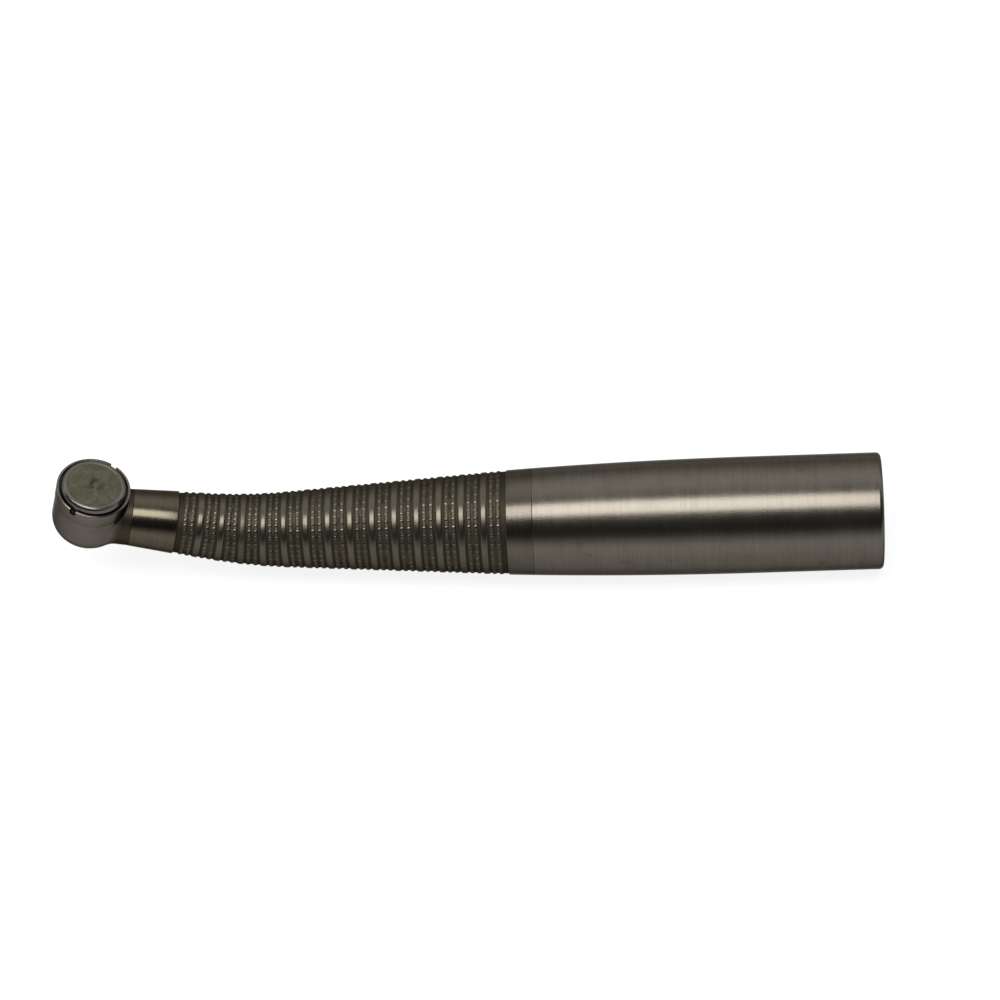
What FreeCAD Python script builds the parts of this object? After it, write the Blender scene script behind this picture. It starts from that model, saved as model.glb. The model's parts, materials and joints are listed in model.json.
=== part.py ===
import FreeCAD, Part
import math
import os
import re

import Sketcher

# A dental air-turbine handpiece with a push-button chuck.
# X runs along the rear barrel and points out of its open end, where the coupler goes in.
# The origin is the centre of that opening. The handle bends up towards +Z at its front end,
# and the head stands square on the bent neck, with its button up and its bur hole down.

doc = FreeCAD.newDocument("handpiece")
sizes = doc.addObject("Spreadsheet::Sheet", "sizes")

# Driving dimensions, in millimetres and degrees
DRIVING = {
    # Rear barrel and coupling
    "barrel_length": 47.65,
    "barrel_radius": 8.0,
    "barrel_wall": 1.0,
    "barrel_parallel_length": 17.7,
    "rear_edge_round": 0.6,
    "socket_radius": 5.0,
    "socket_length": 24.0,
    "socket_mouth_chamfer": 0.35,
    "latch_groove_depth": 0.4,
    "latch_groove_width": 1.4,
    "latch_groove_place": 8.0,
    "manifold_thickness": 3.0,
    "tube_insertion": 2.0,
    # Collar between barrel and grip
    "collar_length": 3.57,
    "collar_rear_radius": 7.35,
    "collar_bore_radius": 5.6,
    "spigot_length": 4.0,
    "shell_edge_thickness": 0.95,
    # Ringed grip
    "grip_rear_radius": 7.18,
    "grip_front_radius": 4.27,
    "ring_pitch": 3.052,
    "ring_count": 14,
    "ring_width": 0.75,
    "ring_edge": 0.1,
    "band_depth": 0.2,
    "grip_wall": 0.9,
    "bend_angle": 13.6,
    "bend_radius": 47.6,
    "bend_to_grip_front": 4.54,
    # Neck
    "neck_length": 6.26,
    "neck_rear_radius": 4.32,
    "neck_front_radius": 3.9,
    "neck_reach": 5.65,
    "neck_wall": 0.65,
    "neck_edge_chamfer": 0.1,
    "neck_spigot_length": 3.2,
    "neck_spigot_wall": 0.55,
    "head_spigot_length": 3.9,
    # Head shell
    "head_radius": 5.0,
    "cap_radius": 5.05,
    "cap_height": 2.3,
    "cap_edge_chamfer": 0.12,
    "nose_drop": 4.35,
    "nose_radius": 2.4,
    "nose_shoulder_radius": 3.4,
    "nose_shoulder_height": 0.67,
    "cone_top_radius": 4.38,
    "cone_top_height": 1.95,
    "wall_start_height": 3.78,
    "nose_wall": 1.15,
    "chamber_wall": 0.8,
    "thread_wall": 0.58,
    "notch_width": 0.9,
    "notch_depth": 0.9,
    "notch_bearing": 59.0,
    "spray_ring_radius": 2.15,
    "spray_ring_height": 0.45,
    "spray_hole_radius": 0.1,
    "spray_hole_count": 4,
    "spray_channel_height": 0.3,
    "spray_channel_radius": 1.87,
    "spray_passage_radius": 0.18,
    "spray_passage_turn": 4.6,
    "spray_passage_cover": 0.58,
    # Bearings
    "shaft_radius": 1.5875,
    "bearing_radius": 3.175,
    "bearing_width": 1.95,
    "race_thickness": 0.49,
    "ball_radius": 0.45,
    "ball_count": 7,
    "cage_thickness": 0.44,
    "cage_height": 1.3,
    "shield_thickness": 0.12,
    "shield_inset": 0.06,
    "o_ring_depth": 0.35,
    "o_ring_width": 0.6,
    "washer_space": 0.3,
    "washer_sheet": 0.15,
    # Rotor
    "impeller_height": 2.35,
    "impeller_hub_radius": 2.0,
    "scoop_count": 10,
    "scoop_radius": 0.8,
    "collet_wall": 0.44,
    "bur_radius": 0.8,
    "collet_length": 6.25,
    "collet_slot_width": 0.25,
    "collet_slot_length": 3.0,
    "collet_slot_count": 3,
    "plunger_radius": 1.0,
    "plunger_travel": 0.3,
    "spindle_end": 0.15,
    "plunger_stand": 0.4,
    "nose_gap": 0.2,
    # Button
    "web_thickness": 0.35,
    "web_hole_radius": 1.5,
    "button_travel": 0.4,
    "button_radius": 4.42,
    "button_rise": 0.95,
    "button_face_radius": 3.7,
    "bevel_radius": 4.15,
    "bevel_drop": 0.22,
    "shoulder_drop": 0.48,
    "button_top_thickness": 0.6,
    "button_skirt": 0.42,
    "button_boss_radius": 1.2,
    "flange_step": 0.2,
    "flange_thickness": 0.35,
    "recess_radius": 4.72,
    "retainer_thickness": 0.2,
    "retainer_groove": 0.13,
    "rim_lip": 0.5,
    "spring_radius": 2.6,
    "spring_wire": 0.3,
    "spring_turns": 2.5,
    # Fits and gaps
    "slip": 0.02,
    "running_gap": 0.05,
    "impeller_gap": 0.15,
    "lost_motion": 0.12,
    # Air and water lines, each with its place in the handle's section
    "drive_tube_radius": 0.9,
    "drive_tube_y": 1.3,
    "drive_tube_z": 0.5,
    "exhaust_tube_radius": 1.15,
    "exhaust_tube_y": -1.1,
    "exhaust_tube_z": -0.3,
    "chip_air_tube_radius": 0.5,
    "chip_air_tube_y": -0.45,
    "chip_air_tube_z": -2.05,
    "water_tube_radius": 0.45,
    "water_tube_y": 0.75,
    "water_tube_z": -1.75,
    "tube_wall": 0.2,
    "clip_thickness": 1.4,
    "barrel_clip_reach": 9.0,
    "rear_clip_reach": 9.3,
    "front_clip_reach": 26.3,
}

# Sizes that follow from the driving ones
DERIVED = {
    "grip_start": "barrel_length + collar_length",
    "grip_length": "ring_pitch * (ring_count + 1)",
    "grip_end": "grip_start + grip_length",
    "grip_slope": "(grip_rear_radius - grip_front_radius) / grip_length",
    "grip_rear_bore": "grip_rear_radius - shell_edge_thickness",
    "grip_front_bore": "grip_front_radius - grip_wall",
    "bore_slope": "(grip_rear_bore - grip_front_bore) / grip_length",
    "bend_length": "bend_radius * bend_angle * pi / 180",
    "bend_end": "grip_end - bend_to_grip_front",
    "bend_start": "bend_end - bend_length",
    "neck_end": "neck_reach + neck_length",
    "head_run": "bend_to_grip_front + neck_end",
    "head_x": "0 - bend_start - bend_radius * sin(bend_angle) - head_run * cos(bend_angle)",
    "head_z": "bend_radius * (1 - cos(bend_angle)) + head_run * sin(bend_angle)",
    "barrel_bore": "barrel_radius - barrel_wall",
    "barrel_cone_start": "socket_length + manifold_thickness",
    "barrel_cone_end": "barrel_length - spigot_length",
    "barrel_front_bore": "collar_rear_radius - shell_edge_thickness",
    "barrel_slope": "(barrel_bore - barrel_front_bore) / (barrel_cone_end - barrel_cone_start)",
    "collar_spigot_radius": "barrel_front_bore - slip",
    "neck_bore": "neck_front_radius - neck_wall",
    "neck_spigot_radius": "grip_front_bore - slip",
    "neck_spigot_bore": "neck_spigot_radius - neck_spigot_wall",
    "head_spigot_radius": "neck_bore - slip",
    "head_spigot_end": "neck_reach + head_spigot_length",
    "chamber_radius": "head_radius - chamber_wall",
    "thread_radius": "head_radius - thread_wall",
    "bearing_bore": "bearing_radius + running_gap",
    "o_ring_groove_radius": "bearing_bore + o_ring_depth",
    "nose_bore": "shaft_radius + nose_gap",
    "nose_z": "0 - nose_drop",
    "front_seat_z": "nose_z + nose_wall",
    "front_top_z": "front_seat_z + bearing_width",
    "impeller_low_z": "front_top_z + impeller_gap",
    "impeller_high_z": "impeller_low_z + impeller_height",
    "rear_seat_z": "impeller_high_z + impeller_gap",
    "rear_top_z": "rear_seat_z + bearing_width",
    "web_low_z": "rear_top_z + washer_space",
    "web_high_z": "web_low_z + web_thickness",
    "flange_low_z": "web_high_z + button_travel + running_gap",
    "flange_high_z": "flange_low_z + flange_thickness",
    "retainer_low_z": "flange_high_z + running_gap",
    "retainer_high_z": "retainer_low_z + retainer_thickness",
    "rim_z": "retainer_high_z + rim_lip",
    "seam_z": "rim_z - cap_height",
    "skirt_low_z": "rear_seat_z + running_gap",
    "button_top_z": "rim_z + button_rise",
    "button_under_z": "button_top_z - button_top_thickness",
    "ball_pitch_radius": "(shaft_radius + bearing_radius) / 2",
    "inner_race_radius": "shaft_radius + race_thickness",
    "outer_race_bore": "bearing_radius - race_thickness",
    "spindle_low_z": "nose_z + running_gap",
    "spindle_high_z": "rear_top_z + spindle_end",
    "spindle_nose_radius": "shaft_radius - running_gap",
    "collet_radius": "bur_radius + collet_wall",
    "collet_low_z": "spindle_low_z + running_gap",
    "collet_high_z": "collet_low_z + collet_length",
    "plunger_low_z": "collet_high_z + plunger_travel + running_gap",
    "plunger_high_z": "spindle_high_z + plunger_stand",
    "boss_low_z": "plunger_high_z + lost_motion",
    "spray_channel_low_z": "nose_z + spray_ring_height",
    "spray_channel_high_z": "spray_channel_low_z + spray_channel_height",
    "spray_passage_turn_z": "spray_passage_cover - neck_front_radius",
    "tube_start": "barrel_cone_start - tube_insertion",
    "tube_stop": "head_spigot_end - tube_insertion",
    "barrel_clip_place": "barrel_cone_start + barrel_clip_reach",
    "rear_clip_place": "grip_start + rear_clip_reach",
    "front_clip_place": "grip_start + front_clip_reach",
}

TUBES = ("drive", "exhaust", "chip_air", "water")


def fill_sheet():
    """Writes each size into a cell of its own, under its alias."""
    row = 0
    for name, value in list(DRIVING.items()) + list(DERIVED.items()):
        row += 1
        cell = "A%d" % row
        sizes.set(cell, "=" + value if isinstance(value, str) else str(value))
        sizes.setAlias(cell, name)
    doc.recompute()


def number(expression):
    """The value that an expression of sheet names has now."""
    return float(sizes.evalExpression(str(expression)))


def bound(expression):
    """The same expression, as an object outside the sheet refers to its cells."""
    functions = ("sin", "cos", "tan", "sqrt", "pi")
    return re.sub(r"[a-z]\w*", lambda w: w[0] if w[0] in functions else "sizes." + w[0], expression)


def bind(thing, **properties):
    """Sets properties from sheet expressions and keeps them tied to the sheet."""
    for name, expression in properties.items():
        thing.setExpression(name.replace("__", "."), bound(expression))


def sketch_on(body, name, plane, offset=None, turn=None):
    """A sketch on one of the body's own origin planes, shifted along or turned about its normal."""
    sketch = body.newObject("Sketcher::SketchObject", name)
    base = [feature for feature in body.Origin.OriginFeatures if feature.Role == plane][0]
    sketch.AttachmentSupport = [(base, "")]
    sketch.MapMode = "FlatFace"
    if turn:
        upright = FreeCAD.Vector(0, 0, 1)
        sketch.AttachmentOffset = FreeCAD.Placement(FreeCAD.Vector(), FreeCAD.Rotation(upright, 1))
        bind(sketch, AttachmentOffset__Rotation__Angle=turn)
    if offset:
        bind(sketch, AttachmentOffset__Base__z=offset)
    return sketch


def hold(sketch, constraints, expressions):
    """Adds constraints together, then ties those that have an expression to the sheet."""
    first = len(sketch.Constraints)
    sketch.addConstraint(constraints)
    for place, expression in enumerate(expressions):
        if expression and re.search("[a-z]", expression):
            sketch.setExpression("Constraints[%d]" % (first + place), bound(expression))


def tangent_arc(start, end, heading):
    """The arc that leaves start along heading and ends at end, and whether it turns left."""
    left = FreeCAD.Vector(-heading.y, heading.x, 0)
    chord = end - start
    radius = chord.Length ** 2 / (2 * chord.dot(left))
    centre = start + left * radius
    angles = [math.atan2(p.y - centre.y, p.x - centre.x) for p in (start, end)]
    circle = Part.Circle(centre, FreeCAD.Vector(0, 0, 1), abs(radius))
    if radius > 0:
        return Part.ArcOfCircle(circle, angles[0], angles[1]), True
    return Part.ArcOfCircle(circle, angles[1], angles[0]), False


def draw(sketch, corners, closed=True):
    """An outline through corners. A third entry, arc, reaches that corner by a tangent arc."""
    corners = [tuple(str(entry) for entry in corner) for corner in corners]
    points = [FreeCAD.Vector(number(corner[0]), number(corner[1]), 0) for corner in corners]
    count = len(points)
    edges = count if closed else count - 1
    geometry, ends = [], []
    for i in range(edges):
        start, end = points[i], points[(i + 1) % count]
        if len(corners[(i + 1) % count]) == 3:
            heading = (start - points[i - 1]).normalize()
            arc, turns_left = tangent_arc(start, end, heading)
            geometry.append(arc)
            ends.append((1, 2) if turns_left else (2, 1))
        else:
            geometry.append(Part.LineSegment(start, end))
            ends.append((1, 2))
    sketch.addGeometry(geometry)
    constraints, expressions = [], []
    for i in range(0 if closed else 1, edges):
        is_arc = len(corners[(i + 1) % count]) == 3
        kind = "Tangent" if is_arc else "Coincident"
        before = (i - 1) % edges
        constraints.append(Sketcher.Constraint(kind, before, ends[before][1], i, ends[i][0]))
        expressions.append(None)
    for i in range(count):
        edge, end = (i, 0) if i < edges else (i - 1, 1)
        for kind, value, text in zip(("DistanceX", "DistanceY"), points[i], corners[i]):
            constraints.append(Sketcher.Constraint(kind, -1, 1, edge, ends[edge][end], value))
            expressions.append(text)
    hold(sketch, constraints, expressions)


def draw_circle(sketch, x, y, radius):
    """A circle held by its centre and radius."""
    centre = FreeCAD.Vector(number(x), number(y), 0)
    circle = Part.Circle(centre, FreeCAD.Vector(0, 0, 1), number(radius))
    place = sketch.addGeometry(circle)
    constraints = [
        Sketcher.Constraint("DistanceX", -1, 1, place, 3, centre.x),
        Sketcher.Constraint("DistanceY", -1, 1, place, 3, centre.y),
        Sketcher.Constraint("Radius", place, number(radius)),
    ]
    hold(sketch, constraints, [x, y, radius])


def volume(body):
    doc.recompute()
    return 0.0 if body.Shape.isNull() else body.Shape.Volume


def finish_feature(body, feature, cuts, before):
    """Raises an error where a feature left the body's volume as it was, or moved it the wrong way."""
    body.Tip = feature
    change = volume(body) - before
    if (change >= 0) if cuts else (change <= 0):
        raise RuntimeError("%s of %s changed the volume by %.4f" % (feature.Name, body.Label, change))
    return feature


def revolve(body, name, outline, axis, cuts=False):
    """Turns an outline about the sketch's V_Axis (head pieces) or H_Axis (handle pieces)."""
    before = volume(body)
    sketch = sketch_on(body, name + "_outline", "XZ_Plane")
    draw(sketch, outline)
    feature = body.newObject("PartDesign::Groove" if cuts else "PartDesign::Revolution", name)
    feature.Profile = sketch
    feature.ReferenceAxis = (sketch, [axis])
    feature.Angle = 360
    return finish_feature(body, feature, cuts, before)


def extrude(body, name, sketch, length=None, cuts=False, reverse=False):
    """Pads or pockets a sketch by a length, or pockets it through everything on both sides."""
    before = volume(body)
    feature = body.newObject("PartDesign::Pocket" if cuts else "PartDesign::Pad", name)
    feature.Profile = sketch
    feature.Reversed = reverse
    if length:
        feature.Length = number(length)
        bind(feature, Length=length)
    else:
        feature.Type = "ThroughAll"
        feature.Midplane = True
    return finish_feature(body, feature, cuts, before)


def repeat_round(body, name, feature, count):
    """Copies a feature evenly round the body's own Z axis."""
    axis = [part for part in body.Origin.OriginFeatures if part.Role == "Z_Axis"][0]
    pattern = body.newObject("PartDesign::PolarPattern", name)
    pattern.Originals = [feature]
    pattern.Axis = (axis, [""])
    pattern.Angle = 360
    pattern.Occurrences = int(number(count))
    bind(pattern, Occurrences=count)
    body.Tip = pattern
    doc.recompute()
    return pattern


def place_in_head(thing):
    """The head's frame: origin where the neck's axis meets the head's, Z out of the button."""
    thing.Placement = FreeCAD.Placement(
        FreeCAD.Vector(), FreeCAD.Rotation(FreeCAD.Vector(0, 1, 0), number("bend_angle")))
    bind(thing, Placement__Base__x="head_x", Placement__Base__z="head_z",
         Placement__Rotation__Angle="bend_angle")


nodes = []


def new_body(label, in_head=False):
    body = doc.addObject("PartDesign::Body", label)
    body.Label = label
    if in_head:
        place_in_head(body)
    nodes.append(body)
    return body


def head_ring(label, outline):
    """A turned piece on the head's axis. Outline corners are radius and height."""
    body = new_body(label, in_head=True)
    revolve(body, label + "_turned", outline, "V_Axis")
    return body


def ring_outline(inner, outer, low, high):
    return [(inner, low), (outer, low), (outer, high), (inner, high)]


# Rear barrel: a thin titanium sleeve, parallel at the rear and then drawn in towards the grip
def make_rear_barrel():
    body = new_body("rear_barrel")
    front = "0 - barrel_length"
    outline = [
        ("0", "barrel_bore"),
        ("0", "barrel_radius - rear_edge_round"),
        ("0 - rear_edge_round", "barrel_radius", "arc"),
        ("0 - barrel_parallel_length", "barrel_radius"),
        (front, "collar_rear_radius", "arc"),
        (front, "barrel_front_bore"),
        ("0 - barrel_cone_end", "barrel_front_bore"),
        ("0 - barrel_cone_start", "barrel_bore"),
    ]
    revolve(body, "barrel_shell", outline, "H_Axis")


# Coupling socket: the stainless sleeve that the coupler slides into, with its latch groove
def make_coupling_socket():
    body = new_body("coupling_socket")
    outline = [
        ("0", "socket_radius + socket_mouth_chamfer"),
        ("0", "barrel_bore - slip"),
        ("0 - socket_length", "barrel_bore - slip"),
        ("0 - socket_length", "socket_radius"),
        ("0 - socket_mouth_chamfer", "socket_radius"),
    ]
    revolve(body, "socket_sleeve", outline, "H_Axis")
    groove_front = "0 - latch_groove_place - latch_groove_width"
    groove = [
        ("0 - latch_groove_place", "socket_radius - running_gap"),
        ("0 - latch_groove_place", "socket_radius + latch_groove_depth"),
        (groove_front, "socket_radius + latch_groove_depth"),
        (groove_front, "socket_radius - running_gap"),
    ]
    revolve(body, "latch_groove", groove, "H_Axis", cuts=True)


def bore_for_tubes(body, name, plane_x, length=None, reverse=False, extra="0"):
    """Four holes along X, one for each line, as wide as the line's own radius plus extra."""
    sketch = sketch_on(body, name + "_outline", "YZ_Plane", offset=plane_x)
    for tube in TUBES:
        draw_circle(sketch, tube + "_tube_y", tube + "_tube_z", "%s_tube_radius + %s" % (tube, extra))
    extrude(body, name, sketch, length, cuts=True, reverse=reverse)


# Manifold plate: closes the socket's floor and holds the rear ends of the four lines
def make_manifold_plate():
    body = new_body("manifold_plate")
    rear = "0 - socket_length"
    front = "0 - barrel_cone_start"
    outline = [(rear, "0"), (rear, "barrel_bore - slip"), (front, "barrel_bore - slip"), (front, "0")]
    revolve(body, "manifold_disc", outline, "H_Axis")
    bore_for_tubes(body, "manifold_ports", rear, extra="0 - tube_wall")
    bore_for_tubes(body, "manifold_seats", front, "tube_insertion", reverse=True, extra="slip")


# Collar: the plain ring between barrel and grip, with a spigot into each
def make_collar():
    body = new_body("collar_ring")
    rear = "0 - barrel_length"
    front = "0 - grip_start"
    rear_end = "0 - barrel_cone_end"
    front_end = "0 - grip_start - spigot_length"
    outline = [
        (rear_end, "collar_bore_radius"),
        (rear_end, "collar_spigot_radius"),
        (rear, "collar_spigot_radius"),
        (rear, "collar_rear_radius"),
        (front, "grip_rear_radius"),
        (front, "grip_rear_bore - slip"),
        (front_end, "grip_rear_bore - slip - bore_slope * spigot_length"),
        (front_end, "collar_bore_radius"),
    ]
    revolve(body, "collar_turned", outline, "H_Axis")
    groove_rear = "0 - barrel_length + (spigot_length + o_ring_width) / 2"
    groove_front = "0 - barrel_length + (spigot_length - o_ring_width) / 2"
    floor = "collar_spigot_radius - o_ring_depth"
    groove = [
        (groove_rear, floor),
        (groove_rear, "collar_spigot_radius + slip"),
        (groove_front, "collar_spigot_radius + slip"),
        (groove_front, floor),
    ]
    revolve(body, "collar_groove", groove, "H_Axis", cuts=True)
    middle = "0 - barrel_length + spigot_length / 2"
    seal = new_body("collar_o_ring")
    seal_outline = seal_section(middle, floor, "collar_spigot_radius + slip", along_first=True)
    revolve(seal, "collar_seal", seal_outline, "H_Axis")


def seal_section(middle, inner, outer, along_first=False):
    """A seal's squeezed section, flat where it bears, as wide as its groove less a gap."""
    half = "(o_ring_width / 2 - slip)"
    corner = "(o_ring_depth / 3)"
    low, high = "%s - %s" % (middle, half), "%s + %s" % (middle, half)
    points = [
        (inner, "%s + %s" % (low, corner)),
        ("%s + %s" % (inner, corner), low),
        ("%s - %s" % (outer, corner), low),
        (outer, "%s + %s" % (low, corner)),
        (outer, "%s - %s" % (high, corner)),
        ("%s - %s" % (outer, corner), high),
        ("%s + %s" % (inner, corner), high),
        (inner, "%s - %s" % (high, corner)),
    ]
    return [(height, radius) for radius, height in points] if along_first else points


def path_circle(distance, radius):
    """A circle square to the handle's centre line, at a distance from the rear end."""
    start, length = number("bend_start"), number("bend_length")
    angle = math.radians(number("bend_angle")) * min(max((distance - start) / length, 0.0), 1.0)
    bend = number("bend_radius")
    centre = FreeCAD.Vector(-min(distance, start) - bend * math.sin(angle), 0, bend * (1 - math.cos(angle)))
    direction = FreeCAD.Vector(-math.cos(angle), 0, math.sin(angle))
    centre += direction * max(distance - start - length, 0.0)
    return Part.Wire(Part.Circle(centre, direction, radius).toShape())


# Grip: one bent metal sleeve with raised plain rings between sunk bands
def make_grip_sleeve():
    start, end = number("grip_start"), number("grip_end")
    half = number("ring_width") / 2
    edge, depth = number("ring_edge"), number("band_depth")
    stations = [(start, depth)]
    for ring in range(int(number("ring_count"))):
        middle = start + number("ring_pitch") * (ring + 1)
        stations += [(middle - half - edge, depth), (middle - half, 0.0)]
        stations += [(middle + half, 0.0), (middle + half + edge, depth)]
    stations.append((end, depth))
    outer = [path_circle(place, number("grip_rear_radius") - number("grip_slope") * (place - start) - sunk)
             for place, sunk in stations]
    steps = int(number("ring_count")) + 1
    overrun = number("running_gap")
    places = [start - overrun] + [start + number("ring_pitch") * step for step in range(1, steps)]
    places.append(end + overrun)
    inner = [path_circle(place, number("grip_rear_bore") - number("bore_slope") * (place - start))
             for place in places]
    sleeve = doc.addObject("Part::Feature", "grip_sleeve")
    sleeve.Label = "grip_sleeve"
    sleeve.Shape = Part.makeLoft(outer, True, True).cut(Part.makeLoft(inner, True, True))
    sleeve.Placement = FreeCAD.Placement()
    nodes.append(sleeve)


# Neck: the plain tapered sleeve between the grip and the head
def make_neck():
    body = new_body("neck_sleeve", in_head=True)
    spigot_end = "neck_end + neck_spigot_length"
    outline = [
        ("neck_reach", "neck_bore"),
        ("neck_reach", "neck_front_radius"),
        ("neck_end - neck_edge_chamfer", "neck_rear_radius"),
        ("neck_end", "neck_rear_radius - neck_edge_chamfer"),
        ("neck_end", "neck_spigot_radius"),
        (spigot_end, "neck_spigot_radius"),
        (spigot_end, "neck_spigot_bore"),
        ("head_spigot_end + running_gap", "neck_spigot_bore"),
        ("head_spigot_end + running_gap", "neck_bore"),
    ]
    revolve(body, "neck_turned", outline, "H_Axis")
    middle = "(neck_reach + head_spigot_end) / 2"
    seal = new_body("neck_o_ring", in_head=True)
    outline = seal_section(middle, "neck_bore - o_ring_depth", "neck_bore", along_first=True)
    revolve(seal, "neck_seal", outline, "H_Axis")


def drill_spray_passage(body, tube):
    """Two holes that meet in the neck stub and lead a line under the bearing to the spray channel."""
    stations = [
        ("tube_stop + running_gap", tube + "_tube_z"),
        ("spray_passage_turn", "spray_passage_turn_z"),
        ("spray_channel_radius", "(spray_channel_low_z + spray_channel_high_z) / 2"),
    ]
    before = volume(body)
    sections = []
    for place, (distance, height) in enumerate(stations):
        section = sketch_on(body, "%s_passage_%d" % (tube, place), "YZ_Plane", offset=distance)
        draw_circle(section, tube + "_tube_y", height, "spray_passage_radius")
        sections.append(section)
    passage = body.newObject("PartDesign::SubtractiveLoft", tube + "_passage")
    passage.Profile = sections[0]
    passage.Sections = sections[1:]
    passage.Ruled = True
    finish_feature(body, passage, True, before)


# Head housing: turned from the solid with its neck stub, then bored for the turbine
def make_head_housing():
    body = new_body("head_housing", in_head=True)
    shoulder = "nose_z + nose_shoulder_height"
    outside = [
        ("0", "nose_z"),
        ("nose_radius", "nose_z"),
        ("nose_shoulder_radius", shoulder),
        ("cone_top_radius", "nose_z + cone_top_height"),
        ("head_radius", "nose_z + wall_start_height", "arc"),
        ("head_radius", "seam_z"),
        ("0", "seam_z"),
    ]
    revolve(body, "head_outside", outside, "V_Axis")
    stub = sketch_on(body, "stub_outline", "YZ_Plane")
    draw_circle(stub, "0", "0", "neck_front_radius - slip")
    extrude(body, "neck_stub", stub, "neck_reach")
    spigot = sketch_on(body, "spigot_outline", "YZ_Plane", offset="neck_reach")
    draw_circle(spigot, "0", "0", "head_spigot_radius")
    extrude(body, "neck_spigot", spigot, "head_spigot_length")
    over_cap = ring_outline("0", "cap_radius + running_gap", "seam_z", "rim_z")
    revolve(body, "room_for_cap", over_cap, "V_Axis", cuts=True)
    cavity = [
        ("0", "seam_z + running_gap"),
        ("thread_radius", "seam_z + running_gap"),
        ("thread_radius", "skirt_low_z"),
        ("chamber_radius", "skirt_low_z"),
        ("chamber_radius", "front_top_z"),
        ("bearing_bore", "front_top_z"),
        ("bearing_bore", "front_seat_z"),
        ("nose_bore", "front_seat_z"),
        ("nose_bore", "nose_z - running_gap"),
        ("0", "nose_z - running_gap"),
    ]
    revolve(body, "turbine_bore", cavity, "V_Axis", cuts=True)
    middle = "front_seat_z + bearing_width / 2"
    groove = ring_outline("0", "o_ring_groove_radius", middle + " - o_ring_width / 2",
                          middle + " + o_ring_width / 2")
    revolve(body, "front_seal_groove", groove, "V_Axis", cuts=True)
    pocket = ring_outline("0", "spray_ring_radius + slip", "nose_z - running_gap",
                          "nose_z + spray_ring_height")
    revolve(body, "spray_ring_seat", pocket, "V_Axis", cuts=True)
    channel = ring_outline("spray_channel_radius", "spray_ring_radius + slip",
                           "spray_channel_low_z - running_gap", "spray_channel_high_z")
    revolve(body, "spray_channel", channel, "V_Axis", cuts=True)
    ports = sketch_on(body, "ports_outline", "YZ_Plane")
    for tube in ("drive", "exhaust"):
        draw_circle(ports, tube + "_tube_y", tube + "_tube_z", tube + "_tube_radius - tube_wall")
    extrude(body, "turbine_ports", ports, "head_spigot_end", cuts=True, reverse=True)
    bore_for_tubes(body, "tube_seats", "tube_stop", "head_spigot_length", reverse=True, extra="slip")
    for tube in ("chip_air", "water"):
        drill_spray_passage(body, tube)
    place = "(neck_reach + head_spigot_end) / 2"
    floor = "neck_bore - o_ring_depth"
    seal_groove = [
        (place + " - o_ring_width / 2", floor),
        (place + " + o_ring_width / 2", floor),
        (place + " + o_ring_width / 2", "neck_bore"),
        (place + " - o_ring_width / 2", "neck_bore"),
    ]
    revolve(body, "neck_seal_groove", seal_groove, "H_Axis", cuts=True)


# Spray ring: pressed into the nose round the bur hole
def make_spray_ring():
    outline = ring_outline("nose_bore", "spray_ring_radius", "nose_z", "nose_z + spray_ring_height")
    body = head_ring("spray_ring", outline)
    sketch = sketch_on(body, "spray_hole_outline", "XY_Plane")
    draw_circle(sketch, "(spray_channel_radius + spray_ring_radius) / 2", "0", "spray_hole_radius")
    hole = extrude(body, "spray_hole", sketch, cuts=True)
    repeat_round(body, "spray_holes", hole, "spray_hole_count")


# Head cap: the screwed ring that closes the head, carries the rear bearing and guides the button
def make_head_cap():
    outline = [
        ("cap_radius", "seam_z"),
        ("cap_radius", "rim_z - cap_edge_chamfer"),
        ("cap_radius - cap_edge_chamfer", "rim_z"),
        ("recess_radius", "rim_z"),
        ("recess_radius", "web_high_z"),
        ("web_hole_radius", "web_high_z"),
        ("web_hole_radius", "web_low_z"),
        ("bearing_bore", "web_low_z"),
        ("bearing_bore", "skirt_low_z"),
        ("thread_radius - slip", "skirt_low_z"),
        ("thread_radius - slip", "seam_z"),
    ]
    body = head_ring("head_cap", outline)
    middle = "rear_seat_z + bearing_width / 2"
    seal = ring_outline("bearing_bore - running_gap", "o_ring_groove_radius",
                        middle + " - o_ring_width / 2", middle + " + o_ring_width / 2")
    revolve(body, "rear_seal_groove", seal, "V_Axis", cuts=True)
    groove = ring_outline("recess_radius - running_gap", "recess_radius + retainer_groove",
                          "retainer_low_z", "retainer_high_z")
    revolve(body, "retainer_groove", groove, "V_Axis", cuts=True)
    sketch = sketch_on(body, "notch_outline", "XY_Plane", offset="rim_z", turn="notch_bearing")
    reach, half = "(cap_radius + running_gap)", "notch_width / 2"
    draw(sketch, [("0 - " + reach, "0 - " + half), (reach, "0 - " + half),
                  (reach, half), ("0 - " + reach, half)])
    extrude(body, "wrench_notches", sketch, "notch_depth", cuts=True)


# Push button: a shallow cup with a bevelled top, a foot flange and a central boss
def make_push_button():
    flange = "button_radius + flange_step"
    skirt_bore = "button_radius - button_skirt"
    outline = [
        ("0", "button_top_z"),
        ("button_face_radius", "button_top_z"),
        ("bevel_radius", "button_top_z - bevel_drop"),
        ("button_radius", "button_top_z - shoulder_drop"),
        ("button_radius", "flange_high_z"),
        (flange, "flange_high_z"),
        (flange, "flange_low_z"),
        (skirt_bore, "flange_low_z"),
        (skirt_bore, "button_under_z"),
        ("button_boss_radius", "button_under_z"),
        ("button_boss_radius", "boss_low_z"),
        ("0", "boss_low_z"),
    ]
    head_ring("push_button", outline)
    head_ring("button_retaining_ring", ring_outline(
        "button_radius + running_gap", "recess_radius + retainer_groove - slip",
        "retainer_low_z", "retainer_high_z"))


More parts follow.
